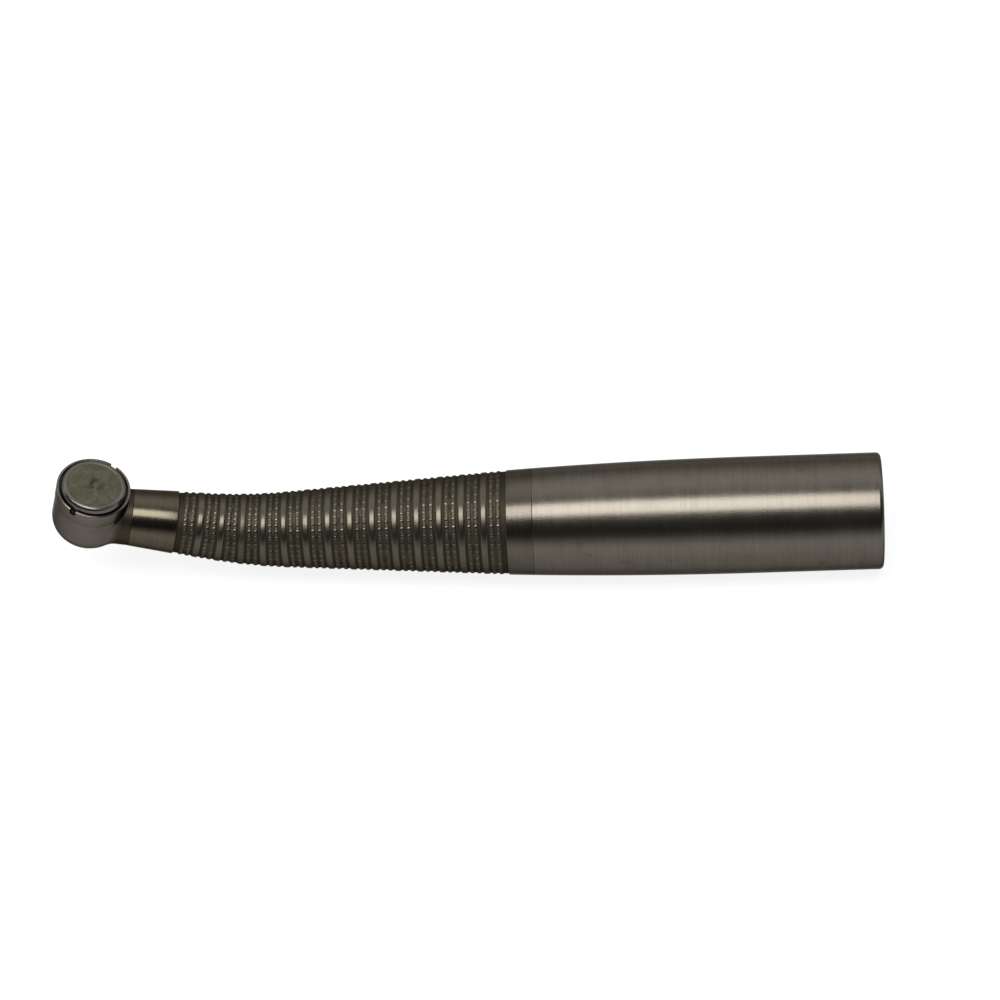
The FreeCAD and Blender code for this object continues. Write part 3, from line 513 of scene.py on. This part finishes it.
spin = next(joint for joint in frame["joints"] if joint["name"] == "rotor_spin")
head_origin = np.array(spin["pos_m"])
head_up = np.array(spin["axis"])
head_back = np.array([head_up[2], 0.0, -head_up[0]])
head_side = np.array([0.0, 1.0, 0.0])
head_place = {"origin": tuple(head_origin), "tilt": bend_angle}
neck_front = 5.65 * mm
neck_rear = 11.91 * mm
neck_bore = 3.25 * mm
neck_step = 9.6 * mm
spigot_end = neck_rear + 3.2 * mm
spigot_radius = 3.35 * mm
spigot_bore = 2.8 * mm
neck_tone = (0.080, 0.069, 0.050)


def from_head(back, side, up):
    """Points at grids of distances back, sideways and up from the head's origin."""
    return (head_origin + back[..., None] * head_back + side[..., None] * head_side
            + up[..., None] * head_up)


def in_head(place):
    """This place in millimetres back, sideways and up from the head's origin."""
    return place.turned_to(cells=(1000.0, 1000.0, 1000.0), **head_place)


def round_neck(outline, steps=192):
    """An outline of place along the neck and radius, turned about the neck's axis."""
    angle = full_turn(steps)
    along, radius = outline[:, :1], outline[:, 1:]
    return from_head(along + 0 * angle, radius * np.sin(angle), radius * np.cos(angle))


neck_outline = rounded([
    (neck_front, neck_bore, 0.0), (neck_front, 3.9 * mm, 0.1 * mm), (neck_rear, 4.32 * mm, 0.12 * mm),
    (neck_rear, spigot_radius, 0.0), (spigot_end, spigot_radius, 0.0), (spigot_end, spigot_bore, 0.0),
    (neck_step, spigot_bore, 0.0), (neck_step, neck_bore, 0.0)], 5)
neck = surface("neck_shell", round_neck(neck_outline), True, "handle", "satin_titanium", ["neck_sleeve"])


def neck_soil(place):
    """Dirt along the seams at both ends of the neck."""
    along = in_head(place).along((1.0, 0.0, 0.0))
    front, rear = neck_front / mm, neck_rear / mm
    return 1 - along.step(front + 0.01, front + 0.15) + along.step(rear - 0.15, rear - 0.01)


neck.data.materials.append(
    satin_titanium("neck_satin", neck_tone, dirt_and_shade=neck_soil, gloss=0.14, **head_place))

# Head housing
# Turned from one bar with its neck stub and bored for the turbine. The corner between its wall and the
# stub is blended by hand on a polishing wheel, and grows wider below the cap.

head_tone = (0.124, 0.113, 0.095)
head_grain = (170.0, 170.0, 4200.0)
seam_height = 3.25 * mm
stub_radius = 3.88 * mm
blend_narrow = 0.04 * mm
blend_wide = 0.60 * mm
blend_growth = 1.2 * mm
skin_lift = 0.002 * mm


def corner_darkening(place):
    """Darker, rougher brown round the foot of the neck stub, thinning out on the wall and towards its
    underside.
    """
    local = in_head(place)
    off_neck = local.length((0.0, 1.0, 1.0)) + local.noise(1.1, 3.0) * 0.5 - 0.25
    near = 1 - off_neck.step(3.95, 4.75)
    behind = local.along((1.0, 0.0, 0.0)).step(2.6, 4.2)
    upper = local.along((0.0, 0.0, 1.0)).step(-4.2, -1.0)
    return near * behind * (upper * 0.45 + 0.55)


head_finish = satin_titanium("head_satin", head_tone, cells=head_grain, dirt_and_shade=corner_darkening, **head_place)
dress(head_finish, "head_housing")


def head_wall(height):
    """The head's outer radius at a height: nose cone, a round, the straight wall, and past the cap."""
    heights = np.array([-4.35, -3.68, -2.40, -2.0, -1.5, -1.0, -0.57, 3.25, 3.251, 6.0]) * mm
    radii = np.array([2.4, 3.4, 4.38, 4.62, 4.84, 4.96, 5.0, 5.0, 5.07, 5.07]) * mm
    return np.interp(height, heights, radii)


def corner_blend(steps=192, rings=12):
    """The blend's skin: at each turn about the neck it leaves the stub, and meets the wall, at a tangent.

    A share from -1 to 1 gives how far the point stands off stub and wall: the two offsets' smooth
    minimum is zero along it. The blend's width grows from the cap's seam downwards.
    """
    turn = full_turn(steps)
    below = (seam_height - stub_radius * np.cos(turn)) / blend_growth
    width = blend_narrow + (blend_wide - blend_narrow) * np.clip(below, 0.0, 1.0)
    share = np.linspace(-1.0, 1.0, rings)[:, None]
    lift = (1 - np.abs(share)) ** 2 * width / 4
    off_stub = lift + np.maximum(share, 0.0) * width
    off_wall = lift + np.maximum(-share, 0.0) * width
    radius = stub_radius + off_stub + skin_lift
    height, side = radius * np.cos(turn), radius * np.sin(turn)
    wall = head_wall(height) + off_wall + skin_lift
    return from_head(np.sqrt(np.maximum(wall ** 2 - side ** 2, 0.0)), side, height)


blend_skin = corner_blend()
inner_turn = full_turn(blend_skin.shape[1])
inner_radius = 3.6 * mm
inner_back = np.full_like(inner_turn, 3.0 * mm)
inner_ring = from_head(inner_back, inner_radius * np.sin(inner_turn), inner_radius * np.cos(inner_turn))
corner = surface("head_neck_blend", np.concatenate([blend_skin, inner_ring[None]]), True, "handle",
                 "satin_titanium", sharp=60.0)
corner.data.materials.append(head_finish)

# Head cap
# The screwed ring that closes the head and guides the button. A pin wrench turns it by two notches in
# its rim, whose bevelled edge catches the light. Painted shade darkens them and the gap to the button.

cap_radius = 5.05 * mm
wall_top = 5.47 * mm
crest_radius = 4.94 * mm
crest_height = 5.545 * mm
lip_radius = 4.74 * mm
lip_top = 5.50 * mm
lip_reach = 4.87 * mm
groove_radius = 4.855 * mm
groove_top = 5.05 * mm
groove_foot = 4.85 * mm
recess_radius = 4.72 * mm
web_top = 4.0 * mm
web_foot = 3.65 * mm
web_hole = 1.5 * mm
bearing_seat = 3.225 * mm
seal_groove = 3.575 * mm
seal_top = 2.675 * mm
seal_foot = 2.075 * mm
skirt_foot = 1.45 * mm
skirt_radius = 4.4 * mm
notch_bearing = 59.0
notch_reach = 5.25
notch_floor = 4.65 * mm


def notched_ring(outline):
    """An outline of radius and height turned about the head's axis, lowered to the floor in the notches.

    Each side of a notch has two columns at the same angle, one on the full outline and one lowered.
    Lowered points of the lip over the recess go to the recess's own radius.
    """
    columns = []
    rim_height = outline[:, 1].max()
    for bearing in (notch_bearing, notch_bearing + 180.0):
        for start, sweep, steps, top in (
                (bearing - notch_reach, 2 * notch_reach, 6, notch_floor),
                (bearing + notch_reach, 180.0 - 2 * notch_reach, 90, rim_height)):
            angle = np.radians(np.linspace(start, start + sweep, steps))
            height = np.minimum(outline[:, 1:], top)
            lowered_lip = (outline[:, 1:] > top) & (outline[:, :1] < lip_reach)
            radius = np.where(lowered_lip, recess_radius, outline[:, :1])
            columns.append(from_head(radius * np.cos(angle), radius * np.sin(angle), height + 0 * angle))
    return np.concatenate(columns, axis=1)


cap_outline = rounded([
    (cap_radius, seam_height, 0.04 * mm), (cap_radius, wall_top, 0.02 * mm),
    (crest_radius, crest_height, 0.015 * mm), (lip_radius, lip_top, 0.02 * mm),
    (lip_radius, groove_top, 0.0), (groove_radius, groove_top, 0.0),
    (groove_radius, groove_foot, 0.0), (recess_radius, groove_foot, 0.0),
    (recess_radius, web_top, 0.0), (web_hole, web_top, 0.0), (web_hole, web_foot, 0.0),
    (bearing_seat, web_foot, 0.0), (bearing_seat, seal_top, 0.0), (seal_groove, seal_top, 0.0),
    (seal_groove, seal_foot, 0.0), (bearing_seat, seal_foot, 0.0), (bearing_seat, skirt_foot, 0.0),
    (skirt_radius, skirt_foot, 0.0), (skirt_radius, seam_height, 0.0)], 4)
cap = surface("head_cap_ring", notched_ring(cap_outline), True, "handle", "satin_titanium", ["head_cap"])


def cap_shade_and_grime(place):
    """Painted shade in the notches and at the bottom of the recess, and grime along the seam to the head."""
    local = in_head(place)
    radius = local.length((1.0, 1.0, 0.0))
    bearing = math.radians(notch_bearing)
    across = local.along((-math.sin(bearing), math.cos(bearing), 0.0))
    # The notch and the inside of the recess are painted dark as shade; only the seam's darkening is grime.
    notch = (1 - across.math("ABSOLUTE", across, 0.0).step(0.47, 0.5)) * (1 - radius.step(4.99, 5.03))
    height = local.along((0.0, 0.0, 1.0))
    inside = (1 - radius.step(4.87, 4.9)) * (1 - height.step(4.95, 5.15))
    seam = 1 - height.step(3.27, 3.4)
    return notch * 1.2 + inside + seam * 0.4


cap.data.materials.append(
    satin_titanium("cap_satin", head_tone, cells=head_grain, dirt_and_shade=cap_shade_and_grime, **head_place))

# Push button
# A turned cup of stainless steel, matt and stained on its face from years of thumbs and sterilising.
# Its shoulder is rounded off and ends in a small lip inside the cap's rim. Pressing it opens the chuck.

face_middle = 6.33 * mm
button_lip = 4.52 * mm
button_radius = 4.42 * mm
flange_radius = 4.62 * mm
flange_top = 4.8 * mm
flange_foot = 4.45 * mm
cup_radius = 4.0 * mm
cup_roof = 5.9 * mm
boss_radius = 1.2 * mm
boss_foot = 4.02 * mm
shoulder = [(3.72 * mm, 6.30 * mm, 0.4 * mm), (3.95 * mm, 6.26 * mm, 0.4 * mm),
            (4.17 * mm, 6.175 * mm, 0.12 * mm), (4.35 * mm, 5.93 * mm, 0.3 * mm)]
face_dark = (0.082, 0.077, 0.051)
face_light = (0.112, 0.106, 0.083)
spot_tone = (0.030, 0.028, 0.012)
side_dark = (0.100, 0.095, 0.088)
side_light = (0.145, 0.137, 0.128)
worn_tone = (0.125, 0.120, 0.104)
gap_shade_tone = (0.030, 0.027, 0.022)


def round_head(outline, steps=192):
    """An outline of radius and height, turned about the head's axis."""
    angle = full_turn(steps)
    radius, height = outline[:, :1], outline[:, 1:]
    return from_head(radius * np.cos(angle), radius * np.sin(angle), height + 0 * angle)


button_turned = rounded([
    *shoulder, (button_lip, 5.54 * mm, 0.02 * mm), (button_lip, 5.50 * mm, 0.0),
    (button_radius, 5.48 * mm, 0.0), (button_radius, flange_top, 0.0), (flange_radius, flange_top, 0.0),
    (flange_radius, flange_foot, 0.0), (cup_radius, flange_foot, 0.0), (cup_radius, cup_roof, 0.0),
    (boss_radius, cup_roof, 0.0), (boss_radius, boss_foot, 0.0), (0.3 * mm, boss_foot, 0.0)])
button_outline = np.vstack([[[0.0, face_middle]], button_turned, [[0.0, boss_foot]]])
button = surface("push_button_cup", round_head(button_outline), True, "button", "button_steel",
                 ["push_button"], 30.0)


def button_metal():
    """A matt olive face mottled with darker stains, worn lighter at its edge, and smoother grey sides."""
    material, shader, place = surface_finish(
        "button_stains_and_painted_shade", Metallic=1.0, Specular_Tint=(0.3, 0.3, 0.3, 1.0))
    local = in_head(place)
    radius = local.length((1.0, 1.0, 0.0))
    face = 1 - radius.step(3.78, 3.86)
    edge = radius.step(3.6, 3.8) * (1 - radius.step(3.9, 4.1))
    lines = place.turned_to(cells=(300.0, 300.0, 13000.0), **head_place).noise(1.0, 2.0)
    # The foot, down in the gap under the cap's rim, is painted dark as shade.
    foot = 1 - local.along((0.0, 0.0, 1.0)).step(5.08, 5.25)
    stain = (local.noise(0.75, 5.0) * 0.6 + local.noise(2.2, 4.0) * 0.4).step(0.42, 0.62)
    spot = local.noise(0.9, 3.0).step(0.50, 0.62) * (1 - radius.step(0.3, 1.9))
    spotted = (spot * 0.85).blend(stain.blend(face_dark, face_light), spot_tone)
    side = lines.step(0.35, 0.65).blend(side_dark, side_light)
    top = (edge * 0.6).blend(face.blend(side, spotted), worn_tone)
    foot.blend(top, gap_shade_tone).into(shader, "Base Color")
    (face * 0.25 + foot * 0.3 + 0.25 + stain * face * 0.08).into(shader, "Roughness")
    lines.bump(0.004 * mm, (local.noise(9.0, 4.0) * face).bump(0.01 * mm)).into(shader, "Normal")
    return material


button.data.materials.append(button_metal())

# Turbine, chuck and spray ring
# What fills the head, and shows in part through the bur hole: hardened steel shaft, races and balls,
# brown resin cages, turned steel rings and collet, and an aluminium wheel. Oil keeps them bright.

head_marks = {"cells": (240.0, 240.0, 5200.0), **head_place}
polished = machined_steel("polished_steel", (0.42, 0.42, 0.42), 0.18, **head_marks)
turned = machined_steel("turned_steel", stainless_tone, 0.3, **head_marks)
aluminium = machined_steel("turned_aluminium", (0.45, 0.44, 0.41), 0.32, **head_marks)
blued = machined_steel("blued_spring", (0.04, 0.04, 0.045), 0.35, **head_marks)
dress(polished, "spindle", "chuck_plunger", "preload_washer",
      "front_bearing_inner_race", "front_bearing_outer_race", "front_bearing_balls",
      "rear_bearing_inner_race", "rear_bearing_outer_race", "rear_bearing_balls")
dress(turned, "spray_ring", "chuck_collet", "front_bearing_shield", "rear_bearing_shield")
dress(blued, "button_retaining_ring")
dress(aluminium, "impeller")
resin, resin_shader, resin_place = surface_finish("cage_brown", Roughness=0.45)
resin_place.noise(3000.0, 3.0).blend((0.20, 0.10, 0.04), (0.28, 0.16, 0.07)).into(
    resin_shader, "Base Color")
dress(resin, "front_bearing_cage", "rear_bearing_cage")

# Button spring
# A short coil of drawn steel wire that stands on the cap's web and lifts the button. Its last turns are
# laid flat at both ends, and it shortens as the button goes down.

spring_foot = web_top
spring_length = 1.88 * mm
spring_radius = 2.6 * mm
spring_turns = 2.5
wire_radius = 0.15 * mm


def coil():
    """Rings of the wire from end to end, closed to a point at both.

    The wire rises by a smooth step of its share of the way, so that both ends lie flat.
    """
    share = np.concatenate([[0.0], np.linspace(0.0, 1.0, 121), [1.0]])[:, None]
    thickness = np.full_like(share, wire_radius)
    thickness[[0, -1]] = 0.0
    turn = share * spring_turns * 2 * math.pi
    section = full_turn(12)
    rise = share ** 2 * (3 - 2 * share) * (spring_length - 2 * wire_radius)
    height = spring_foot + wire_radius + rise + thickness * np.sin(section)
    radius = spring_radius + thickness * np.cos(section)
    return from_head(radius * np.cos(turn), radius * np.sin(turn), height)


spring = surface("button_coil", coil(), False, "handle", "spring_steel", ["button_spring"])
spring.data.materials.append(polished)
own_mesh(spring)

# Studio
# A pale floor and white surroundings, with one long softbox above the handle. Mirrored rays see a room
# that is light low down and behind and dark between, which draws the dark line along the metal.

floor_edge = 3.0
floor_height = -barrel_radius - 0.02 * mm
floor_seen = 0.86
painted_shadow_glow = 0.6
glow_beyond_painted_shadow = 0.24
near_room = 0.70
far_room = 1.2
far_fade = 0.75
dark_room = 0.06
plain_light = 0.38
floor_corners = [(x * floor_edge, y * floor_edge, floor_height)
                 for x, y in ((-1, -1), (1, -1), (1, 1), (-1, 1))]
floor_mesh = bpy.data.meshes.new("floor")
floor_mesh.from_pydata(floor_corners, [], [(0, 1, 2, 3)])
floor = bpy.data.objects.new("floor", floor_mesh)
bpy.context.scene.collection.objects.link(floor)


def rays(tree):
    """Three masks: 1 for the camera's own rays, for mirrored rays, and for rays through glass."""
    light_path = tree.nodes.new("ShaderNodeLightPath")
    kinds = "Is Camera Ray", "Is Glossy Ray", "Is Transmission Ray"
    return [Shade(tree, light_path.outputs[kind]) for kind in kinds]


floor_finish, floor_shader, floor_place = surface_finish(
    "floor_white", Base_Color=(0.2, 0.2, 0.2, 1.0), Roughness=0.9)
floor_shader.inputs["Specular IOR Level"].default_value = 0.0
floor_shader.inputs["Emission Strength"].default_value = 1.0
direct, mirrored, through_glass = rays(floor_finish.node_tree)
reflected = direct.math("MAXIMUM", direct.math("MAXIMUM", direct, mirrored), through_glass) - direct
# The camera sees an even pale floor, and the metal mirrors one with a painted shadow under the handle.
beyond_painted_shadow = floor_place.length((0.0, 1.0, 0.0)).step(barrel_radius, 5 * barrel_radius)
glow = direct * floor_seen + reflected * (beyond_painted_shadow * glow_beyond_painted_shadow + painted_shadow_glow)
glow.blend((0.0, 0.0, 0.0), (1.0, 1.0, 1.0)).into(floor_shader, "Emission Color")
underneath = floor_place.node("ShaderNodeNewGeometry", {}, {}, output="Backfacing")
(1 - underneath).into(floor_shader, "Alpha")
floor.data.materials.append(floor_finish)

world = bpy.data.worlds.new("studio")
bpy.context.scene.world = world
world.use_nodes = True
background = world.node_tree.nodes["Background"]
background.inputs["Color"].default_value = (1.0, 1.0, 1.0, 1.0)
direct, mirrored, through_glass = rays(world.node_tree)
sky = direct.node("ShaderNodeTexCoord", {}, {}, output="Generated")
# Degrees up from the horizon on the near side: 90 is straight up, and 180 is the far horizon.
upwards = sky.along((0.0, 0.0, 1.0))
degrees = upwards.math("ARCTAN2", upwards, sky.along((0.0, -1.0, 0.0))) * (180 / math.pi)
near_side = (1 - degrees.step(0.0, 22.0)) * near_room
far_side = degrees.step(80.0, 122.0) * (far_room - degrees.step(126.0, 175.0) * far_fade)
room = near_side + far_side + dark_room
white = direct.math("MAXIMUM", direct, through_glass)
strength = white + (1 - white) * (mirrored * room + (1 - mirrored) * plain_light)
strength.into(background, "Strength")

softbox_elevation = math.radians(75.3)
softbox_distance = 0.8
softbox_middle = Vector((-0.25, 0.0, 0.0))
softbox = bpy.data.lights.new("softbox", "AREA")
softbox.shape = "RECTANGLE"
softbox.size = 0.36
softbox.size_y = 0.9
softbox.energy = 7.84
softbox_object = bpy.data.objects.new("softbox", softbox)
overhead = Vector((0.0, -math.cos(softbox_elevation), math.sin(softbox_elevation)))
softbox_object.location = softbox_middle + overhead * softbox_distance
softbox_object.rotation_euler = overhead.to_track_quat("Z", "X").to_euler()
bpy.context.scene.collection.objects.link(softbox_object)
softbox_object.visible_camera = False

camera_elevation = math.radians(52)
camera_swing = math.radians(2.974)
camera_distance = 604.06 * mm
pixels_per_mm = 7.3125
frame_pixels = 1000
sensor_width = 36.0
aim_right = -55.493 * mm
aim_up = 1.332 * mm
aim_along_barrel = 3.27 * mm
camera_right = Vector((math.cos(camera_swing), 0.0, -math.sin(camera_swing)))
camera_back = Vector((math.sin(camera_elevation) * math.sin(camera_swing), -math.cos(camera_elevation),
                      math.sin(camera_elevation) * math.cos(camera_swing)))
camera_up = camera_back.cross(camera_right)
camera_data = bpy.data.cameras.new("camera")
camera_data.sensor_width = sensor_width
camera_data.lens = pixels_per_mm * camera_distance / mm * sensor_width / frame_pixels
camera = bpy.data.objects.new("camera", camera_data)
camera.location = camera_right * aim_right + camera_up * aim_up + camera_back * camera_distance
camera.location.x += aim_along_barrel
camera.rotation_euler = Matrix((camera_right, camera_up, camera_back)).transposed().to_euler()
bpy.context.scene.collection.objects.link(camera)
bpy.context.scene.camera = camera
bpy.context.scene.view_settings.view_transform = "Standard"
